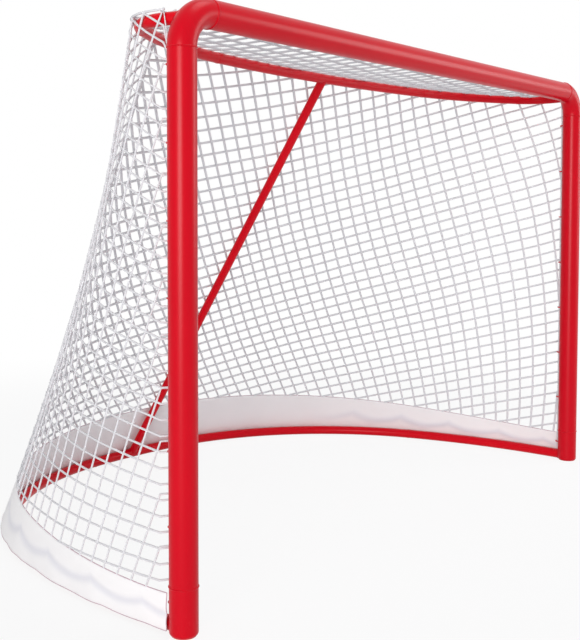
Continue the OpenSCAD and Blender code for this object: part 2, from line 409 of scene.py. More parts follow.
@dataclass(frozen=True)
class CoatedCloth:
    """White coated fabric: a plain weave, a soft sheen, and painted shade: a faint grey painted along the
    creases.
    """

    name: str
    colour: Colour
    crease: Colour
    threads: float = 520.0
    thread_bend: float = 0.4
    weave_depth: float = 0.00025
    weave_share: float = 0.7
    crease_share: float = 0.85
    mottle_scale: float = 22.0
    mottle_share: float = 0.12
    mottle_bump: float = 0.3
    mottle_rough: float = 0.14
    roughness: float = 0.62
    gloss: float = 0.3
    sheen: float = 0.1

    def build(self) -> bpy.types.Material:
        """Makes the material, from the cloth's UV map in metres and its mask of painted shade along the
        creases.

        Returns:
            The material.
        """
        graph = Graph(bpy.data.materials.new(self.name))
        cloth = graph.node("ShaderNodeUVMap", {"uv_map": "cloth"})
        warp, weft = (graph.node("ShaderNodeTexWave", {"wave_type": "BANDS", "bands_direction": way}, {
            "Vector": cloth, "Scale": self.threads / math.pi, "Distortion": self.thread_bend}, out="Fac")
            for way in "XY")
        # Painted shade: the skirt's mask lays a grey into the base colour along the creases, mixed with a
        # real random mottle.
        crease = graph.node("ShaderNodeAttribute", {"attribute_name": "crease"}, out="Fac")
        mottle = graph.noise(graph.place(), self.mottle_scale, detail=5)
        shade = (crease * self.crease_share + mottle * self.mottle_share).at_most(1.0)
        weave = warp.at_least(weft) * self.weave_share + mottle * self.mottle_bump
        graph.principled(
            base_color=graph.mix(shade, self.colour, self.crease),
            roughness=self.roughness + mottle * self.mottle_rough,
            normal=graph.bump(weave, self.weave_depth),
            specular_ior_level=self.gloss, sheen_weight=self.sheen)
        return graph.owner


@dataclass(frozen=True)
class EdgeTape:
    """Mauve binding tape, stitched over the edges of the skirt."""

    name: str
    colour: Colour
    thread: Colour
    rib_scale: float = 700.0
    rib_depth: float = 0.0003
    rib_share: float = 0.5
    roughness: float = 0.75
    gloss: float = 0.2

    def build(self) -> bpy.types.Material:
        """Makes the material.

        Returns:
            The material.
        """
        graph = Graph(bpy.data.materials.new(self.name))
        ribs = graph.noise(graph.place(), self.rib_scale, detail=2)
        graph.principled(
            base_color=graph.mix(ribs * self.rib_share, self.colour, self.thread),
            roughness=self.roughness, normal=graph.bump(ribs, self.rib_depth),
            specular_ior_level=self.gloss)
        return graph.owner


@dataclass(frozen=True)
class StageWhite:
    """Floor that the camera sees as white, except for the object's own soft shadow."""

    name: str
    colour: Colour
    roughness: float = 0.9
    gloss: float = 0.1
    shown: float = 0.88
    shown_from: float = 1.2
    shown_to: float = 3.2

    def build(self) -> bpy.types.Material:
        """Makes the material. Away from the object it turns wholly white and meets the backdrop.

        Returns:
            The material.
        """
        graph = Graph(bpy.data.materials.new(self.name))
        away = graph.node("ShaderNodeVectorMath", {"operation": "LENGTH"}, {0: graph.place()}, out="Value")
        share = self.shown + (1 - self.shown) * graph.step(away, self.shown_from, self.shown_to)
        graph.principled(base_color=self.colour, roughness=self.roughness, specular_ior_level=self.gloss)
        glow = graph.node("ShaderNodeEmission", inputs={"Color": WHITE, "Strength": 1.0})
        graph.show_white(graph.own("Principled BSDF"), glow, "Material Output", share)
        return graph.owner


# ------------------------------------------------------------ shape of the goal


@dataclass(frozen=True)
class Arc:
    """One arc of a bent bar seen from above. Headings are in degrees outward from straight back."""

    radius: float
    turn_in: float
    turn_out: float
    start: Vector
    before: float

    @property
    def length(self) -> float:
        """Length of the arc."""
        return self.radius * math.radians(self.turn_out - self.turn_in)

    def heading(self, run: float) -> float:
        """Heading in radians at a length along the whole plan."""
        return math.radians(self.turn_in) + (run - self.before) / self.radius

    def point(self, turn: float, out: float = 0.0) -> Vector:
        """A point of the arc.

        Args:
            turn: Heading there, in radians.
            out: Distance outward.

        Returns:
            The point in plan.
        """
        first = math.radians(self.turn_in)
        turned = Vector((math.cos(first) - math.cos(turn), math.sin(turn) - math.sin(first)))
        return self.start + self.radius * turned + out * Vector((-math.cos(turn), math.sin(turn)))


@dataclass
class BentBar:
    """A bar bent from post to post in five tangent arcs, kept as its left half.

    The radii of the first two arcs follow from the width and the depth. The net is laid out evenly along
    the bar where even is 1; a smaller value is the share of the even spacing that is left at the posts.
    """

    half_width: float
    depth: float
    flare: float
    side_turn: float
    corner_turn: float
    back_radius: float
    radius: float
    height: float
    bare: float
    even: float = 1.0
    arcs: list[Arc] = field(init=False)

    def __post_init__(self) -> None:
        """Works out the three arcs of the left half."""
        flare, side, corner = (math.radians(a) for a in (self.flare, self.side_turn, self.corner_turn))
        across = self.half_width - self.back_radius * math.cos(corner)
        back = self.depth - self.back_radius * (1 - math.sin(corner))
        rows = Matrix(((math.cos(flare) - math.cos(side), math.cos(side) - math.cos(corner)),
                       (math.sin(side) + math.sin(flare), math.sin(corner) - math.sin(side))))
        first, second = rows.inverted() @ Vector((across, back))
        turns = (-self.flare, self.side_turn, self.corner_turn, 90.0)
        start, before = Vector((-self.half_width, 0.0)), 0.0
        self.arcs = []
        for radius, turn_in, turn_out in zip((first, second, self.back_radius), turns, turns[1:]):
            arc = Arc(radius, turn_in, turn_out, start, before)
            self.arcs.append(arc)
            start, before = arc.point(math.radians(turn_out)), before + arc.length

    @property
    def half_length(self) -> float:
        """Length from a post to the middle of the back."""
        return self.arcs[-1].before + self.arcs[-1].length

    @property
    def half_net(self) -> float:
        """Length of the half that carries the net."""
        return self.half_length - self.bare

    def gathered(self, share: float) -> float:
        """Share of the half with the net, which is gathered toward the posts."""
        return share * (self.even + (1 - self.even) * share)

    def run(self, u: float) -> float:
        """Length from the nearer post to the place u."""
        return self.bare + self.gathered(1 - abs(u)) * self.half_net

    def along(self, run: float, out: float = 0.0) -> Vector:
        """Point in plan at a length from the left post, moved outward."""
        arc = next(a for a in reversed(self.arcs) if run >= a.before)
        return arc.point(arc.heading(run), out)

    def at(self, u: float, out: float) -> Vector:
        """Point in plan at the place u, moved outward."""
        spot = self.along(self.run(u), out)
        return Vector((-spot.x, spot.y)) if u > 0 else spot


@dataclass
class GoalShape:
    """Sizes that the looks share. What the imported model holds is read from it."""

    elbow_radius: float = 0.0762
    rope_radius: float = 0.003
    eyelet_radius: float = 0.009
    eyelet_wire: float = 0.004
    clear: float = 0.0003
    arm_angle: float = 55.0
    top_out: float = 0.01875
    base_out: float = 0.02046
    sag: float = 0.004
    skirt_side: float = 0.085
    skirt_rear: float = 0.185
    skirt_rise: float = 1.5
    sheet_lift: float = 0.01625
    post_radius: float = field(init=False)
    post_x: float = field(init=False)
    post_y: float = field(init=False)
    elbow_x: float = field(init=False)
    elbow_z: float = field(init=False)
    cross_z: float = field(init=False)
    sheet_z: float = field(init=False)
    top: BentBar = field(init=False)
    base: BentBar = field(init=False)

    def __post_init__(self) -> None:
        """Reads the posts and the crossbar, and lays the two bent bars out from them."""
        low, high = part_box("right_post")
        self.post_radius = (high.x - low.x) / 2
        self.post_x = (high.x + low.x) / 2
        self.post_y = (high.y + low.y) / 2
        self.elbow_z = high.z
        low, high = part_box("crossbar")
        self.cross_z = (high.z + low.z) / 2
        self.elbow_x = high.x
        arm = math.radians(self.arm_angle)
        arm_x = self.elbow_x + self.elbow_radius * math.cos(arm)
        arm_z = self.elbow_z + self.elbow_radius * math.sin(arm)
        self.top = BentBar(half_width=arm_x, depth=0.350, flare=42.0, side_turn=58.0, corner_turn=82.0,
                           back_radius=3.55, radius=0.01345, height=arm_z, bare=0.052, even=0.35)
        self.base = BentBar(half_width=self.post_x, depth=1.168, flare=4.0, side_turn=17.0, corner_turn=85.0,
                            back_radius=2.0, radius=0.015, height=0.0155, bare=0.048)
        self.sheet_z = arm_z + self.sheet_lift

    @property
    def rope_out(self) -> float:
        """Distance of a border rope behind the axis of its tube."""
        return self.post_radius + self.eyelet_radius - self.eyelet_wire / 2 - self.clear - self.rope_radius

    @property
    def wall_height(self) -> float:
        """Height of the wall, from the middle of the base tube to the top edge."""
        return self.sheet_z - self.base.height

    def set_down(self, plan: Vector, z: float) -> Vector:
        """A point in plan, measured from the posts, as a point of the model."""
        return Vector((plan.x, plan.y + self.post_y, z))

    def wall(self, u: float, z: float, out: float = 0.0) -> Vector:
        """A point of the net wall or the skirt.

        Args:
            u: Place round the goal.
            z: Height.
            out: Distance outward from the middle of the net.

        Returns:
            The point.
        """
        t = (self.sheet_z - z) / self.wall_height
        inward = self.sag * hump(abs(u)) * hump(clamp(t))
        high = self.top.at(u, self.top_out + out - inward)
        low = self.base.at(u, self.base_out + out - inward)
        return self.set_down(high.lerp(low, t), z)

    def skirt_top(self, u: float) -> float:
        """Height of the upper edge of the skirt."""
        rise = max(0.0, math.cos(math.pi / 2 * u)) ** self.skirt_rise
        return self.skirt_side + (self.skirt_rear - self.skirt_side) * rise

    def rope_at(self, side: Side, z: float) -> Vector:
        """Point on the axis of a post's border rope."""
        return self.set_down(Vector((side.value * self.post_x, self.rope_out)), z)


# ------------------------------------------------------------------ mesh making


def link(piece: bpy.types.Object) -> bpy.types.Object:
    """Puts an object in the scene."""
    bpy.context.scene.collection.objects.link(piece)
    return piece


def finish_piece(piece: bpy.types.Object, material: bpy.types.Material, slot: str,
                 replaces: Sequence[str] = ()) -> bpy.types.Object:
    """Dresses a piece and attaches it to the root body.

    Args:
        piece: The piece, in place.
        material: Its material.
        slot: A label for it, which is only logged.
        replaces: CAD nodes that it stands for.

    Returns:
        The piece.
    """
    piece.data.materials.clear()
    piece.data.materials.append(material)
    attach(piece, BODY)
    if replaces:
        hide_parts(*replaces)
    LOG.info("%s: %d faces, %s", piece.name, len(piece.data.polygons), slot)
    return piece


def cord_bmesh(paths: Sequence[Path3], radius: float, rings: int = 1,
               closed: bool = False) -> bmesh.types.BMesh:
    """Cords of round section along paths, as one bmesh.

    Args:
        paths: The centre lines.
        radius: Radius of the cords.
        rings: Roundness of the section: 4 sides and 2 more for each.
        closed: Whether each path is a loop.

    Returns:
        The bmesh.
    """
    line = bpy.data.curves.new("cord", "CURVE")
    line.dimensions = "3D"
    line.bevel_depth = radius
    line.bevel_resolution = rings
    line.use_fill_caps = not closed
    for path in paths:
        spline = line.splines.new("POLY")
        spline.points.add(len(path) - 1)
        for point, spot in zip(spline.points, path):
            point.co = (*spot, 1.0)
        spline.use_cyclic_u = closed
    holder = link(bpy.data.objects.new("cord", line))
    bpy.context.view_layer.update()
    mesh = bpy.data.meshes.new_from_object(holder.evaluated_get(bpy.context.evaluated_depsgraph_get()))
    shape = bmesh.new()
    shape.from_mesh(mesh)
    bpy.data.objects.remove(holder)
    bpy.data.curves.remove(line)
    bpy.data.meshes.remove(mesh)
    for face in shape.faces:
        face.smooth = True
    return shape


def object_from(shape: bmesh.types.BMesh, name: str) -> bpy.types.Object:
    """Ends a bmesh as an object.

    Args:
        shape: The bmesh, which is freed.
        name: Name of the object.

    Returns:
        The object.
    """
    mesh = bpy.data.meshes.new(name)
    shape.to_mesh(mesh)
    shape.free()
    return link(bpy.data.objects.new(name, mesh))


def add_knots(shape: bmesh.types.BMesh, spots: Sequence[Vector], radius: float) -> None:
    """Adds a small ball at each crossing.

    Args:
        shape: The bmesh.
        spots: The crossings.
        radius: Radius of a knot.
    """
    for spot in spots:
        made = bmesh.ops.create_icosphere(shape, subdivisions=1, radius=radius,
                                          matrix=Matrix.Translation(spot))
        for face in {f for vert in made["verts"] for f in vert.link_faces}:
            face.smooth = True


def laid_rope(axis: Path3, radius: float, pitch: float, strands: int = 3, per_turn: int = 10,
              apart: float = 1.05) -> list[Path3]:
    """Centre lines of the strands of a straight laid rope.

    Args:
        axis: The two ends of the rope's axis.
        radius: Radius of the rope.
        pitch: Length of one turn of the lay.
        strands: Number of strands.
        per_turn: Points in each turn.
        apart: Distance of a strand from the axis, in radii of a strand.

    Returns:
        One path for each strand.
    """
    way = axis[1] - axis[0]
    count = max(2, round(way.length / pitch * per_turn))
    side = way.normalized().orthogonal()
    other = way.normalized().cross(side)
    offset = radius / 2 * apart
    paths = []
    for strand in range(strands):
        first = 2 * math.pi * strand / strands
        angles = [first + 2 * math.pi * step / per_turn for step in range(count + 1)]
        paths.append([axis[0] + way * (step / count) + offset * on_circle(side, other, angle)
                      for step, angle in enumerate(angles)])
    return paths


# -------------------------------------------------------------------- tube frame


@dataclass
class WeldBeads:
    """Weld beads where tubes meet, painted over with the frame."""

    shape: GoalShape
    butt_radius: float = 0.0016
    fillet_radius: float = 0.0022
    roundness: int = 2
    points: int = 40
    rounds: int = 24
    bar_reach: float = 0.12
    strut_reach: float = 0.05

    def ring(self, centre: Vector, axis: Vector, radius: float) -> Path3:
        """A circle.

        Args:
            centre: Its centre.
            axis: Its axis.
            radius: Its radius.

        Returns:
            The circle's points.
        """
        side = axis.orthogonal().normalized()
        other = axis.normalized().cross(side)
        angles = [2 * math.pi * i / self.points for i in range(self.points)]
        return [centre + radius * on_circle(side, other, angle) for angle in angles]

    def seam(self, surface: Callable[[float, float], Vector], gap: Callable[[Vector], float],
             reach: float) -> Path3:
        """Where a tube leaves the one that carries it.

        Args:
            surface: Point of the tube by length along it and angle round it.
            gap: Distance of a point outside the carrier.
            reach: Length within which the tube has left the carrier.

        Returns:
            The closed line where both surfaces meet.
        """
        line = []
        for index in range(self.points):
            angle = 2 * math.pi * index / self.points
            clear = halve(lambda run: gap(surface(run, angle)) < 0, 0.0, reach, self.rounds)[1]
            line.append(surface(clear, angle))
        return line

    def bar_end(self, bar: BentBar, side: Side, gap: Callable[[Vector], float]) -> Path3:
        """The bead at an end of a bent bar.

        Args:
            bar: The bar.
            side: Which end.
            gap: Distance of a point outside the tube that carries it.

        Returns:
            The bead's line.
        """
        def surface(run: float, angle: float) -> Vector:
            """Point of the bar, kept above the ice by the bead's radius.

            Args:
                run: Length along the bar.
                angle: Angle round it.

            Returns:
                The point.
            """
            plan = bar.along(run, bar.radius * math.cos(angle))
            spot = Vector((-side.value * plan.x, plan.y))
            height = max(bar.height + bar.radius * math.sin(angle), self.fillet_radius)
            return self.shape.set_down(spot, height)
        return self.seam(surface, gap, self.bar_reach)

    def butt_lines(self) -> list[Path3]:
        """The butt welds of the posts, elbows and crossbar.

        Returns:
            One closed line for each weld.
        """
        shape, lines = self.shape, []
        foot_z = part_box("left_post")[0].z
        up, across = Vector((0, 0, 1)), Vector((1, 0, 0))
        for side in Side:
            for z in (foot_z, shape.elbow_z):
                centre = Vector((side.value * shape.post_x, shape.post_y, z))
                lines.append(self.ring(centre, up, shape.post_radius))
            centre = Vector((side.value * shape.elbow_x, shape.post_y, shape.cross_z))
            lines.append(self.ring(centre, across, shape.post_radius))
        return lines

    def fillet_lines(self) -> list[Path3]:
        """The fillet welds at the ends of the two bent bars.

        Returns:
            One closed line for each weld.
        """
        shape, lines = self.shape, []
        for side in Side:
            def off_elbow(spot: Vector, side: Side = side) -> float:
                """Distance of a point outside the elbow.

                Args:
                    spot: The point.
                    side: Which elbow.

                Returns:
                    The distance.
                """
                across = side.value * spot.x - shape.elbow_x
                ring = math.hypot(across, spot.z - shape.elbow_z) - shape.elbow_radius
                return math.hypot(ring, spot.y - shape.post_y) - shape.post_radius

            def off_foot(spot: Vector, side: Side = side) -> float:
                """Distance of a point outside the foot."""
                across = spot.x - side.value * shape.post_x
                return math.hypot(across, spot.y - shape.post_y) - shape.post_radius
            lines.append(self.bar_end(shape.top, side, off_elbow))
            lines.append(self.bar_end(shape.base, side, off_foot))
        return lines

    def strut_lines(self) -> list[Path3]:
        """The fillet welds of the strut on the two bars.

        Returns:
            One closed line for each weld.
        """
        shape = self.shape
        low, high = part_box("centre_strut")
        radius = (high.x - low.x) / 2
        head = shape.set_down(Vector((0, shape.top.depth)), shape.top.height)
        foot = shape.set_down(Vector((0, shape.base.depth)), shape.base.height)
        lines = []
        for start, end, bar in ((head, foot, shape.top), (foot, head, shape.base)):
            way = (end - start).normalized()
            across = Vector((1, 0, 0))
            other = way.cross(across)

            def surface(run: float, angle: float) -> Vector:
                """Point of the strut."""
                return start + way * run + radius * on_circle(across, other, angle)

            def off_bar(spot: Vector) -> float:
                """Distance of a point outside the bar."""
                return math.hypot(spot.y - start.y, spot.z - start.z) - bar.radius
            lines.append(self.seam(surface, off_bar, self.strut_reach))
        return lines

    def build(self, paint: bpy.types.Material) -> None:
        """Makes the two groups of beads.

        Args:
            paint: Paint of the frame.
        """
        fillets = self.fillet_lines() + self.strut_lines()
        for name, lines, radius in (("weld_butts", self.butt_lines(), self.butt_radius),
                                    ("weld_fillets", fillets, self.fillet_radius)):
            beads = cord_bmesh(lines, radius, self.roundness, closed=True)
            finish_piece(object_from(beads, name), paint, "frame_red")


@dataclass
class TubeFrame:
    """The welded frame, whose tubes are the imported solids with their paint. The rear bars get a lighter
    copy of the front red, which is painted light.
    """

    shape: GoalShape
    nodes: dict[str, bpy.types.Object]
    front_colour: Colour = srgb(208, 0, 27)
    # Painted light: the rear bars' red is a lighter copy of the front red.
    rear_colour: Colour = srgb(220, 0, 26)
    front: tuple[str, ...] = ("left_post", "right_post", "left_foot", "right_foot", "left_corner_bend",
                              "right_corner_bend", "crossbar", "left_post_eyelets", "right_post_eyelets",
                              "crossbar_eyelets")
    rear: tuple[str, ...] = ("top_bar", "base_frame", "centre_strut")

    def build(self) -> None:
        """Paints the tubes and adds their weld beads."""
        front = PaintedSteel("front_frame_paint", self.front_colour).build()
        rear = PaintedSteel("rear_bar_paint_painted_lighter", self.rear_colour).build()
        for names, paint in ((self.front, front), (self.rear, rear)):
            for name in names:
                node = self.nodes[name]
                node.data.materials.clear()
                node.data.materials.append(paint)
                LOG.info("%s: painted", name)
        WeldBeads(self.shape).build(front)


# --------------------------------------------------------------------------- net


@dataclass(frozen=True)
class Lattice:
    """The twines of one panel of the net wall, as two families of lines.

    Places are worked out on the flat net, where x is the length across, from the middle of the back or
    from an edge of the mouth, and w is the length down. A line of either family bends a little, as the
    twines of a net do where it is gathered. lean and rise hold the slope of a family and how it changes.
    """

    top: BentBar
    base: BentBar
    edge: int
    height: float
    across_mesh: float
    down_mesh: float
    lean: tuple[float, float, float]
    rise: tuple[float, float, float]

    def full(self, t: float) -> float:
        """Length from an edge of the mouth to the middle of the back at the height t."""
        return (1 - t) * self.top.half_net + t * self.base.half_net

    def x_at(self, u: float, t: float) -> float:
        """Length across at a place.

        Args:
            u: Place round the goal.
            t: Place down the net.

        Returns:
            The length.
        """
        share = 1 - abs(u)
        off = (1 - t) * self.top.gathered(share) * self.top.half_net + t * share * self.base.half_net
        return math.copysign(self.full(t) - off, u) - self.edge * self.full(t)

    def u_at(self, x: float, t: float) -> float:
        """The u of a length across; it lies outside -1 to 1 beyond the edges of the mouth.

        Args:
            x: Length across.
            t: Place down the net.

        Returns:
            The u.
        """
        middle = x + self.edge * self.full(t)
        off = self.full(t) - abs(middle)
        high, low = (1 - t) * self.top.half_net, t * self.base.half_net
        square, linear = high * (1 - self.top.even), high * self.top.even + low
        root = math.sqrt(max(linear * linear + 4 * square * off, 0.0))
        share = 2 * off / (linear + root) if off > 0 else off / linear
        return math.copysign(1 - share, middle)

    def down_point(self, number: int, w: float) -> Place:
        """Place of a point on a strand that runs down.

        Args:
            number: Number of the strand.
            w: Length down.

        Returns:
            The place as u and t.
        """
        slope, narrowing, straightening = self.lean
        x = number * self.across_mesh * (1 - narrowing * w) + slope * w - straightening * w * w / 2
        return self.u_at(x, clamp(w / self.height)), w / self.height

    def across_point(self, number: int, x: float) -> Place:
        """Place of a point on a strand that runs across.

        Args:
            number: Number of the strand.
            x: Length across.

        Returns:
            The place as u and t.
        """
        slope, steepening, spread = self.rise
        w = number * self.down_mesh * (1 + spread * x) - (slope + steepening * x) * x
        return self.u_at(x, clamp(w / self.height)), w / self.height

    def across_number(self, u: float, t: float) -> float:
        """Number, with its fraction, of the crossing strand at a place.

        Args:
            u: Place round the goal.
            t: Place down the net.

        Returns:
            The number.
        """
        slope, steepening, spread = self.rise
        x = self.x_at(u, t)
        return (t * self.height + (slope + steepening * x) * x) / (1 + spread * x) / self.down_mesh


@dataclass(frozen=True)
class Panel:
    """A panel of the net wall between two values of u."""

    name: str
    start: float
    end: float
    lattice: Lattice
    twine: float
    replaces: tuple[str, ...]


@dataclass
class NetWall:
    """The net round both sides and the back, of knotted twine."""

    shape: GoalShape
    twine: float = 0.0023
    rear_twine: float = 0.0034
    knot: float = 1.5
    step: float = 0.025
    rounds: int = 16
    drift: float = 0.0035
    drift_scale: float = 3.1
    drift_seed: int = 7
    drift_start: float = 12.0
    seam: float = 0.56
    right_seam: float = 0.73
    height: float = 1.36
    tuck: float = 0.0005
    mouth: float = 0.9995
    rope_end: float = 0.004

    def panels(self) -> list[Panel]:
        """The three panels, divided at the seams.

        Returns:
            The panels.
        """
        bars = self.shape.top, self.shape.base
        side = Lattice(*bars, Side.LEFT.value, self.height, across_mesh=0.045, down_mesh=0.036,
                       lean=(0.38, 0.0, 0.0), rise=(0.75, 0.0, 0.6))
        rear = Lattice(*bars, 0, self.height, across_mesh=0.066, down_mesh=0.041,
                       lean=(1.02, 0.28, 0.32), rise=(0.24, 0.08, 0.08))
        middle = ("net_left_corner", "net_rear_left", "net_rear_right", "net_right_corner")
        return [Panel("side_net_left", -1.0, -self.seam, side, self.twine, ("net_left_side",)),
                Panel("rear_net", -self.seam, self.right_seam, rear, self.rear_twine, middle),
                Panel("side_net_right", self.right_seam, 1.0, rear, self.rear_twine, ("net_right_side",))]

    def foot(self, u: float) -> float:
        """The t of the net's lower edge, tucked behind the top of the skirt."""
        return (self.shape.sheet_z - self.shape.skirt_top(u) + self.tuck) / self.shape.wall_height

    def spot(self, u: float, t: float) -> Vector:
        """A point on the net, with the slow drift of a hand-hung net.

        Args:
            u: Place round the goal.
            t: Place down the net.

        Returns:
            The point.
        """
        point = self.shape.wall(u, self.shape.sheet_z - t * self.shape.wall_height)
        loose = hump(t) * min(1.0, (1 - abs(u)) * self.drift_start)
        return point + noise.noise_vector(point * self.drift_scale) * self.drift * max(loose, 0.0)

    def inside(self, panel: Panel, place: Place) -> bool:
        """Whether a place is on a panel."""
        u, t = place
        return panel.start <= u <= panel.end and 0.0 <= t <= self.foot(u)

    def runs(self, panel: Panel, line: Callable[[float], Place], first: float,
             last: float) -> Iterator[list[Place]]:
        """The stretches of a line that lie on a panel, with their ends found exactly.

        Args:
            panel: The panel.
            line: Gives a place for a length.
            first: Length at which the search starts.
            last: Length at which it ends.

        Yields:
            The places along each stretch.
        """
        def on_panel(length: float) -> bool:
            """Whether the line is on the panel at a length."""
            return self.inside(panel, line(length))

        def edge(within: float, beyond: float) -> Place:
            """The place where the line crosses the edge."""
            return line(halve(on_panel, within, beyond, self.rounds)[0])

        stretch: list[Place] = []
        for index in range(math.ceil((last - first) / self.step) + 1):
            here, before = first + index * self.step, first + (index - 1) * self.step
            if on_panel(here):
                if not stretch and index:
                    stretch.append(edge(here, before))
                stretch.append(line(here))
            elif stretch:
                stretch.append(edge(before, here))
                yield stretch
                stretch = []
        if len(stretch) > 1:
            yield stretch

    def strands(self, panel: Panel) -> tuple[list[Path3], list[Vector]]:
        """The twines and knots of a panel.

        Args:
            panel: The panel.

        Returns:
            The paths of the twines, and the crossings.
        """
        lattice, paths, knots = panel.lattice, [], []
        widest = lattice.full(1.0)
        reach = round(2 * widest / lattice.across_mesh)
        for number in range(-reach, reach):
            for stretch in self.runs(panel, lambda w: lattice.down_point(number, w), 0.0, self.height):
                paths.append(self.tied(stretch))
                knots += self.crossings(lattice, stretch)
        reach = round(2 * self.height / lattice.down_mesh)
        for number in range(-reach, reach):
            for stretch in self.runs(panel, lambda x: lattice.across_point(number, x), -widest, widest):
                paths.append(self.tied(stretch))
        return paths, knots

    def tied(self, stretch: list[Place]) -> Path3:
        """Lays a strand on the wall, and carries an end at the mouth round the border rope of its post.

        Args:
            stretch: Places along the strand.

        Returns:
            The strand with its ends.
        """
        path = [self.spot(*place) for place in stretch]
        for index in (0, -1):
            u = stretch[index][0]
            if abs(u) > self.mouth:
                side = Side.LEFT if u < 0 else Side.RIGHT
                rope = self.shape.rope_at(side, clamp(path[index].z, *self.rope_span))
                path = [rope, *path] if index == 0 else [*path, rope]
        return path

    @property
    def rope_span(self) -> tuple[float, float]:
        """Heights between which the net can be tied to the border rope of a post."""
        low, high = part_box("left_border_rope")
        return low.z + self.rope_end, high.z - self.rope_end

    def crossings(self, lattice: Lattice, stretch: list[Place]) -> list[Vector]:
        """Where crossing strands meet one strand that runs down.

        Args:
            lattice: The panel's lattice.
            stretch: Places along the strand.

        Returns:
            The crossings.
        """
        found = []
        for (u, t), (next_u, next_t) in zip(stretch, stretch[1:]):
            here, there = lattice.across_number(u, t), lattice.across_number(next_u, next_t)
            low, high = sorted((here, there))
            for number in range(math.ceil(low), math.floor(high) + 1):
                share = (number - here) / (there - here) if there != here else 0.0
                found.append(self.spot(u + (next_u - u) * share, t + (next_t - t) * share))
        return found

    def build(self, material: bpy.types.Material) -> None:
        """Makes the panels. The seed makes the drift the same in every run.

        Args:
            material: The twine.
        """
        noise.seed_set(self.drift_seed)
        for panel in self.panels():
            paths, knots = self.strands(panel)
            shape = cord_bmesh(paths, panel.twine)
            add_knots(shape, knots, panel.twine * self.knot)
            finish_piece(object_from(shape, panel.name), material, "twine", panel.replaces)


@dataclass
class TopNet:
    """The net over the top, from the crossbar's border rope to the wall."""

    shape: GoalShape
    twine: float = 0.0028
    knot: float = 0.0044
    mesh: float = 0.052
    across_turn: float = 9.0
    depth_turn: float = 94.0
    origin: tuple[float, float] = (0.0, 0.2)
    strands: int = 40
    points: int = 80
    step: float = 0.03
    sag: float = 0.007
    rear_out: float = 0.0165

    @property
    def widest_run(self) -> float:
        """Length along the top bar at which it is widest."""
        arc = self.shape.top.arcs[0]
        return -math.radians(arc.turn_in) * arc.radius

    def edge_x(self, run: float) -> float:
        """Distance of the sheet's edge from the middle, at a length along the top bar."""
        return -self.shape.top.along(run, self.rear_out).x

    def edge_y(self, x: float, inner: float, outer: float) -> float:
        """Depth, from the posts, at which the edge reaches a distance from the middle.

        Args:
            x: The distance.
            inner: Length along the top bar where the edge is nearer the middle.
            outer: Length where it is farther out.

        Returns:
            The depth.
        """
        run = halve(lambda length: self.edge_x(length) < abs(x), inner, outer, rounds=24)[1]
        return self.shape.top.along(run, self.rear_out).y

    def rear_edge(self, x: float) -> float:
        """Depth of the rear edge at a distance from the middle."""
        return self.edge_y(x, self.shape.top.half_length, self.widest_run)

    def front_edge(self, x: float) -> float:
        """Depth of the front edge: the crossbar's rope, and beyond it the arms of the top bar.

        Args:
            x: Distance from the middle.

        Returns:
            The depth.
        """
        if abs(x) < self.edge_x(0.0):
            return self.shape.rope_out
        return max(self.edge_y(x, 0.0, self.widest_run), self.shape.rope_out)

    def spot(self, plan: Vector) -> Vector:
        """A point of the sheet, which sags a little between its edges.

        Args:
            plan: The point in plan.

        Returns:
            The point.
        """
        rear, front = self.rear_edge(plan.x), self.front_edge(plan.x)
        share = clamp((plan.y - front) / max(rear - front, 1e-6))
        return self.shape.set_down(plan, self.shape.sheet_z - self.sag * hump(share))

    def inside(self, plan: Vector) -> bool:
        """Whether a point in plan is on the sheet."""
        return (abs(plan.x) < self.edge_x(self.widest_run)
                and self.front_edge(plan.x) <= plan.y <= self.rear_edge(plan.x))

    def lines(self, turn: float) -> list[Path3]:
        """The strands of one family.

        Args:
            turn: Their direction, in degrees from +X toward the back.

        Returns:
            The paths.
        """
        way, paths = heading(turn), []
        off = left_of(way)
        for number in range(-self.strands, self.strands + 1):
            stretch: Path3 = []
            for index in range(-self.points, self.points + 1):
                plan = off * (number * self.mesh) + way * (index * self.step) + Vector(self.origin)
                if self.inside(plan):
                    stretch.append(plan)
                elif len(stretch) > 1:
                    break
            if len(stretch) > 1:
                paths.append(self.stretched(stretch, way))
        return paths

    def stretched(self, stretch: Path3, way: Vector) -> Path3:
        """Carries both ends of a strand out to the edges of the sheet, and lifts it into place.

        Args:
            stretch: Points in plan.
            way: Direction of the strand.

        Returns:
            The path.
        """
        ends = []
        for last, out in ((stretch[0], -way), (stretch[-1], way)):
            reach = halve(lambda length: self.inside(last + out * length), 0.0, self.step * 1.01,
                          rounds=14)[0]
            ends.append(last + out * reach)
        return [self.spot(plan) for plan in (ends[0], *stretch, ends[1])]

    def knots(self) -> list[Vector]:
        """The crossings of the two families.

        Returns:
            The crossings.
        """
        solve = Matrix([left_of(heading(turn)) for turn in (self.across_turn, self.depth_turn)]).inverted()
        numbers = range(-self.strands, self.strands + 1)
        plans = [solve @ Vector((first * self.mesh, second * self.mesh)) + Vector(self.origin)
                 for first in numbers for second in numbers]
        return [self.spot(plan) for plan in plans if self.inside(plan)]

    def build(self, material: bpy.types.Material) -> None:
        """Makes the sheet of twine.

        Args:
            material: The twine.
        """
        shape = cord_bmesh(self.lines(self.across_turn) + self.lines(self.depth_turn), self.twine)
        add_knots(shape, self.knots(), self.knot)
        finish_piece(object_from(shape, "top_net"), material, "twine", ("net_top",))


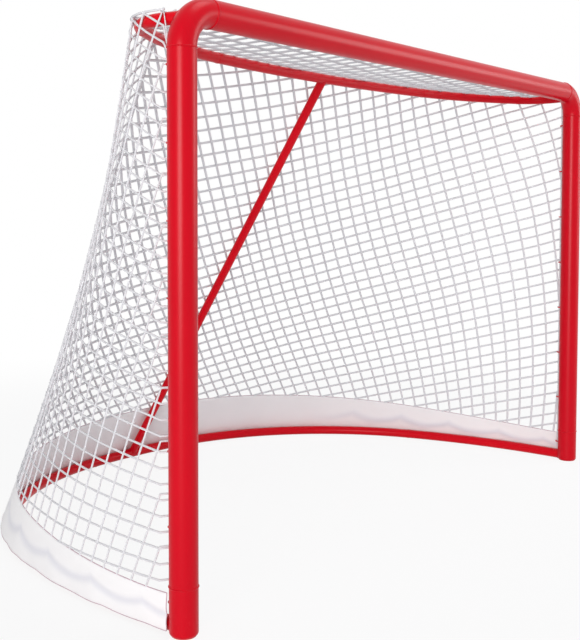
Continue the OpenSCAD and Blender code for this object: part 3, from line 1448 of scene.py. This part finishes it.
@dataclass
class Lacing:
    """Border ropes, the cords along the net's edges and seams, and the lacing that ties them together."""

    shape: GoalShape
    cord: float = 0.0026
    lace: float = 0.0012
    rope_pitch: float = 0.019
    rope_fill: float = 1.02
    lace_pitch: float = 0.052
    lace_near: float = 0.0022
    lace_far: float = 0.0040
    lace_swing: float = 0.0042
    lace_points: int = 12
    edge_behind: float = 0.012
    edge_drop: float = 0.001
    seam: float = -0.56
    seam_steps: int = 60
    edge_steps: int = 240

    def rope_pieces(self, material: bpy.types.Material) -> None:
        """The three laid border ropes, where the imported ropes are.

        Args:
            material: The rope.
        """
        for node in ("left_border_rope", "right_border_rope", "crossbar_border_rope"):
            low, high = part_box(node)
            middle, size = (low + high) / 2, high - low
            longest = max(range(3), key=lambda axis: size[axis])
            ends = [middle.copy(), middle.copy()]
            ends[0][longest], ends[1][longest] = low[longest], high[longest]
            paths = laid_rope(ends, self.shape.rope_radius, self.rope_pitch)
            strands = cord_bmesh(paths, self.shape.rope_radius / 2 * self.rope_fill)
            finish_piece(object_from(strands, f"laid_{node}"), material, "rope", (node,))

    def edge_cords(self) -> list[Path3]:
        """The cords along the top edge and the laced seam of the wall.

        Returns:
            Both paths.
        """
        shape, low = self.shape, self.shape.skirt_top(self.seam)
        places = [i / self.edge_steps * 2 - 1 for i in range(self.edge_steps + 1)]
        rises = [i / self.seam_steps for i in range(self.seam_steps + 1)]
        return [[shape.wall(u, shape.sheet_z - self.edge_drop) for u in places],
                [shape.wall(self.seam, low + (shape.sheet_z - low) * rise) for rise in rises]]

    def spiral(self, rope: Callable[[float], Vector], edge: Callable[[float], Vector],
               first: float, last: float) -> Path3:
        """Lacing that winds round a border rope and the edge of the net.

        Args:
            rope: Point on the rope's axis by its length.
            edge: Point on the net's edge cord by the same length.
            first: Where the lacing starts.
            last: Where it ends.

        Returns:
            The path.
        """
        path = []
        count = round((last - first) / self.lace_pitch * self.lace_points)
        way = (rope(last) - rope(first)).normalized()
        for index in range(count + 1):
            place = first + (last - first) * index / count
            start = rope(place)
            across = edge(place) - start
            across -= way * across.dot(way)
            side = across.normalized().cross(way)
            turn = 2 * math.pi * index / self.lace_points
            share = (1 - math.cos(turn)) / 2
            out = -self.lace_near + (across.length + self.lace_near + self.lace_far) * share
            path.append(start + across.normalized() * out + side * self.lace_swing * math.sin(turn))
        return path

    def laces(self) -> list[Path3]:
        """The lacing of the crossbar.

        Returns:
            Its one path.
        """
        low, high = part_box("crossbar_border_rope")
        rope_y, rope_z = (low.y + high.y) / 2, (low.z + high.z) / 2
        return [self.spiral(lambda x: Vector((x, rope_y, rope_z)),
                            lambda x: Vector((x, rope_y + self.edge_behind, self.shape.sheet_z)),
                            low.x, high.x)]

    def build(self, rope: bpy.types.Material, twine: bpy.types.Material) -> None:
        """Makes the ropes, the edge cords and the lacing.

        Args:
            rope: Material of the ropes.
            twine: Material of the cords.
        """
        self.rope_pieces(rope)
        for name, paths, radius in (("net_edge_cords", self.edge_cords(), self.cord),
                                    ("net_lacing", self.laces(), self.lace)):
            finish_piece(object_from(cord_bmesh(paths, radius), name), twine, "twine")


# ------------------------------------------------------------------------- skirt


@dataclass
class Skirt:
    """The fabric skirt round the foot of the net, hung outside the base tube."""

    shape: GoalShape
    columns: int = 640
    rows: int = 18
    strips: int = 200
    thickness: float = 0.0012
    tape: float = 0.0011
    out: float = -0.0005
    innermost: float = -0.001
    overlap: float = 0.0119
    belly: float = 0.002
    belly_foot: float = 0.9
    ruffle: float = 0.0015
    ruffle_scale: tuple[float, float] = (26.0, 2.0)
    ruffle_seed: float = 1.7
    fold_out: float = 0.0026
    fold_least: float = 0.3
    fold_power: float = 1.6
    fold_width: float = 0.1111
    fold_first: float = 0.767
    cusps: tuple[float, ...] = (0.40, 0.535, 0.645, 0.755, 0.870, 0.970, 1.08)
    cusp_power: float = 0.85
    crease_high: float = 0.42
    crease_low: float = 0.61
    crease_width: float = 0.105
    crease_depth: float = 0.003
    crease_from: tuple[float, float] = (0.42, 0.60)
    hem_low: float = 0.0080
    hem_lift: float = 0.0022
    lifts: tuple[tuple[float, float], ...] = ((0.10, 0.03), (0.22, 0.02), (0.33, 0.03), (0.44, 0.02),
                                              (0.53, 0.03), (0.602, 0.02), (0.66, 0.022), (0.728, 0.02),
                                              (0.897, 0.024), (0.978, 0.026))

    @property
    def end(self) -> float:
        """The u of an end of the cloth, which nearly touches the post."""
        return 1 + self.overlap

    @property
    def half_length(self) -> float:
        """Length of the cloth from the middle of the back to an end."""
        return self.shape.base.half_length - self.shape.base.run(self.end)

    def crease_at(self, u: float) -> float:
        """Share of the skirt's height, from its top, at which the scalloped fold and the painted shade along
        it lie.

        Args:
            u: Place round the goal.

        Returns:
            The share.
        """
        place, wave = clamp(abs(u), self.cusps[0]), 0.0
        for start, end in zip(self.cusps, self.cusps[1:]):
            if start <= place <= end:
                wave = math.sin(math.pi * (place - start) / (end - start)) ** self.cusp_power
        return self.crease_high + (self.crease_low - self.crease_high) * wave

    def crease_strength(self, u: float, v: float) -> float:
        """How deep the scalloped fold is at a place, and how strong the painted shade along it is. It fades
        away toward the back.

        Args:
            u: Place round the goal.
            v: Share of the skirt's height, from its top.

        Returns:
            The strength, from 0 to 1.
        """
        start, end = self.crease_from
        fade = clamp((abs(u) - start) / (end - start))
        off = (v - self.crease_at(u)) / self.crease_width
        return fade * math.exp(-off * off)

    def hem(self, u: float) -> float:
        """Height of the hem, which lifts off the ice in a few short waves."""
        lift = sum(math.exp(-((abs(u) - middle) / width) ** 2 * 2) for middle, width in self.lifts)
        return self.hem_low + self.hem_lift * min(lift, 1.0)

    def spot(self, u: float, v: float) -> Vector:
        """A point of the skirt.

        Args:
            u: Place round the goal.
            v: Share of its height, from 0 at its top to 1 at the hem.

        Returns:
            The point.
        """
        top, foot = self.shape.skirt_top(u), self.hem(u)
        wave = 0.5 + 0.5 * math.cos(2 * math.pi * (abs(u) - self.fold_first) / self.fold_width)
        fold = self.fold_least + (1 - self.fold_least) * wave
        belly = math.sin(math.pi * min(v / self.belly_foot, 1.0)) * self.belly
        along, down = self.ruffle_scale
        ruffle = noise.noise(Vector((u * along, v * down, self.ruffle_seed))) * self.ruffle * v
        out = (self.out + belly + ruffle + self.fold_out * fold * v ** self.fold_power
               - self.crease_depth * self.crease_strength(u, v))
        return self.shape.wall(u, top + (foot - top) * v, max(out, self.innermost))

    def cloth(self) -> bpy.types.Object:
        """The sheet of cloth, from a grid laid round the goal.

        Returns:
            The sheet.
        """
        sheet = bmesh.new()
        bmesh.ops.create_grid(sheet, x_segments=self.columns, y_segments=self.rows, size=1.0)
        # Mask of painted shade: the grey that the cloth's material lays along the scalloped fold.
        painted_crease_shade_mask = sheet.verts.layers.float.new("crease")
        places = {vert: (vert.co.x * self.end, (1 - vert.co.y) / 2) for vert in sheet.verts}
        layer = sheet.loops.layers.uv.new("cloth")
        for face in sheet.faces:
            face.smooth = True
            for loop in face.loops:
                u, v = places[loop.vert]
                loop[layer].uv = (u * self.half_length, v * self.shape.skirt_rear)
        for vert, (u, v) in places.items():
            vert[painted_crease_shade_mask] = self.crease_strength(u, v)
            vert.co = self.spot(u, v)
        bmesh.ops.recalc_face_normals(sheet, faces=sheet.faces)
        piece = object_from(sheet, "skirt")
        shell = piece.modifiers.new("thickness", "SOLIDIFY")
        shell.thickness = self.thickness
        shell.offset = 0.0
        return piece

    def edge_lines(self) -> list[Path3]:
        """The lines of the binding.

        Returns:
            The upper edge, the hem and both ends.
        """
        places = [(i / self.columns * 2 - 1) * self.end for i in range(self.columns + 1)]
        rows = [i / self.rows for i in range(self.rows + 1)]
        return [*([self.spot(u, v) for u in places] for v in (0.0, 1.0)),
                *([self.spot(u, v) for v in rows] for u in (-self.end, self.end))]

    def flat_area(self) -> float:
        """Area of the flat cloth: its height by its length, in narrow strips.

        Returns:
            The area in square metres.
        """
        area = 0.0
        for index in range(self.strips):
            u, after = ((index + step) / self.strips * self.end for step in (0, 1))
            high = (self.spot(u, 0.0) - self.spot(u, 1.0)).length
            area += 2 * high * (self.spot(after, 0.5) - self.spot(u, 0.5)).length
        return area

    def build(self, material: bpy.types.Material, tape: bpy.types.Material) -> None:
        """Makes the skirt and its binding.

        Args:
            material: The cloth.
            tape: The binding.
        """
        nodes = [f"skirt_{side.word}_{part}" for side in Side for part in ("side", "corner")]
        nodes += [f"skirt_rear_{side.word}" for side in Side]
        piece = finish_piece(self.cloth(), material, "skirt_cloth", nodes)
        edging = finish_piece(object_from(cord_bmesh(self.edge_lines(), self.tape), "skirt_binding"),
                              tape, "skirt_cloth")
        round(2 * self.half_length, 3)
        round(self.flat_area(), 3)


# ------------------------------------------------------------------------- stage


@dataclass(frozen=True)
class SoftLamp:
    """A large soft lamp that points at the goal."""

    name: str
    place: tuple[float, float, float]
    size: tuple[float, float]
    power: float
    colour: Colour
    aim: tuple[float, float, float] = (0.0, -0.2, 0.7)

    def hang(self) -> None:
        """Hangs the lamp."""
        light = bpy.data.lights.new(self.name, "AREA")
        light.shape = "ELLIPSE"
        light.size, light.size_y = self.size
        light.energy = self.power
        light.color = self.colour
        lamp = link(bpy.data.objects.new(self.name, light))
        lamp.location = self.place
        lamp.rotation_euler = (Vector(self.aim) - Vector(self.place)).to_track_quat("-Z", "Y").to_euler()


@dataclass
class Studio:
    """Pale floor, soft light and camera."""

    shape: GoalShape
    image: tuple[int, int] = (580, 640)
    focal: float = 1009.2
    axis: tuple[float, float] = (252.0, 262.0)
    eye: tuple[float, float, float] = (-2.380, -1.395, 0.853)
    yaw: float = 49.742
    pitch: float = -2.867
    sensor: float = 24.0
    floor_size: float = 30.0
    floor_drop: float = 0.0002
    room_colour: Colour = (0.975, 0.985, 1.0)
    room_light: float = 0.38
    lamps: tuple[SoftLamp, ...] = (
        SoftLamp("key", (-8.2, -4.0, 1.4), (4.2, 2.7), 460.0, (1.0, 0.98, 0.96)),
        SoftLamp("fill", (4.2, -3.7, 1.7), (3.0, 2.4), 76.0, (1.0, 0.98, 0.97)),
        SoftLamp("sky", (0.5, -1.6, 5.5), (3.0, 3.0), 80.0, WHITE))

    def camera(self) -> None:
        """Puts the camera at the viewing angle. The eye is measured from the posts."""
        lens = bpy.data.cameras.new("camera")
        lens.sensor_fit = "VERTICAL"
        lens.sensor_height = self.sensor
        lens.lens = self.focal / self.image[1] * self.sensor
        lens.shift_x = (self.image[0] / 2 - self.axis[0]) / self.image[1]
        lens.shift_y = (self.axis[1] - self.image[1] / 2) / self.image[1]
        view = link(bpy.data.objects.new("camera", lens))
        view.location = self.shape.set_down(Vector(self.eye[:2]), self.eye[2])
        view.rotation_euler = (math.radians(90 + self.pitch), 0.0, math.radians(-self.yaw))
        bpy.context.scene.camera = view

    def floor(self) -> None:
        """Lays the floor, a little below the ice line."""
        plate = bmesh.new()
        bmesh.ops.create_grid(plate, x_segments=1, y_segments=1, size=self.floor_size)
        floor = object_from(plate, "floor")
        floor.data.transform(Matrix.Translation((0, 0, -self.floor_drop)))
        floor.data.materials.append(StageWhite("pale_floor", srgb(238, 238, 240)).build())

    def room(self) -> None:
        """Sets the even light of the room, which the camera sees as white."""
        graph = Graph(bpy.data.worlds.new("room"))
        bpy.context.scene.world = graph.owner
        even = graph.tree.nodes["Background"].inputs
        graph.feed(even["Color"], self.room_colour)
        graph.feed(even["Strength"], self.room_light)
        white = graph.node("ShaderNodeBackground", inputs={"Color": WHITE, "Strength": 1.0})
        graph.show_white(graph.own("Background"), white, "World Output")

    def build(self) -> None:
        """Sets the stage."""
        bpy.context.scene.view_settings.view_transform = "Standard"
        self.camera()
        self.floor()
        self.room()
        for lamp in self.lamps:
            lamp.hang()


def main() -> None:
    """Builds the goal's looks in order."""
    logging.basicConfig(level=logging.INFO, format="%(name)s: %(message)s")
    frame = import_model()
    shape = GoalShape()
    Studio(shape).build()
    twine = TwistedTwine("net_twine", colour=srgb(230, 230, 234), shade=srgb(216, 217, 222)).build()
    rope = TwistedTwine("border_rope", colour=srgb(232, 231, 234), shade=srgb(214, 214, 219),
                        yarn_scale=600.0).build()
    # The skirt's second colour is painted shade, laid along its creases.
    cloth = CoatedCloth("skirt_fabric", colour=srgb(252, 251, 252), crease=srgb(230, 230, 237)).build()
    tape = EdgeTape("binding_tape", colour=srgb(205, 180, 190), thread=srgb(190, 165, 178)).build()
    TubeFrame(shape, frame["nodes"]).build()
    NetWall(shape).build(twine)
    TopNet(shape).build(twine)
    Lacing(shape).build(rope, twine)
    Skirt(shape).build(cloth, tape)


if __name__ == "__main__":
    main()
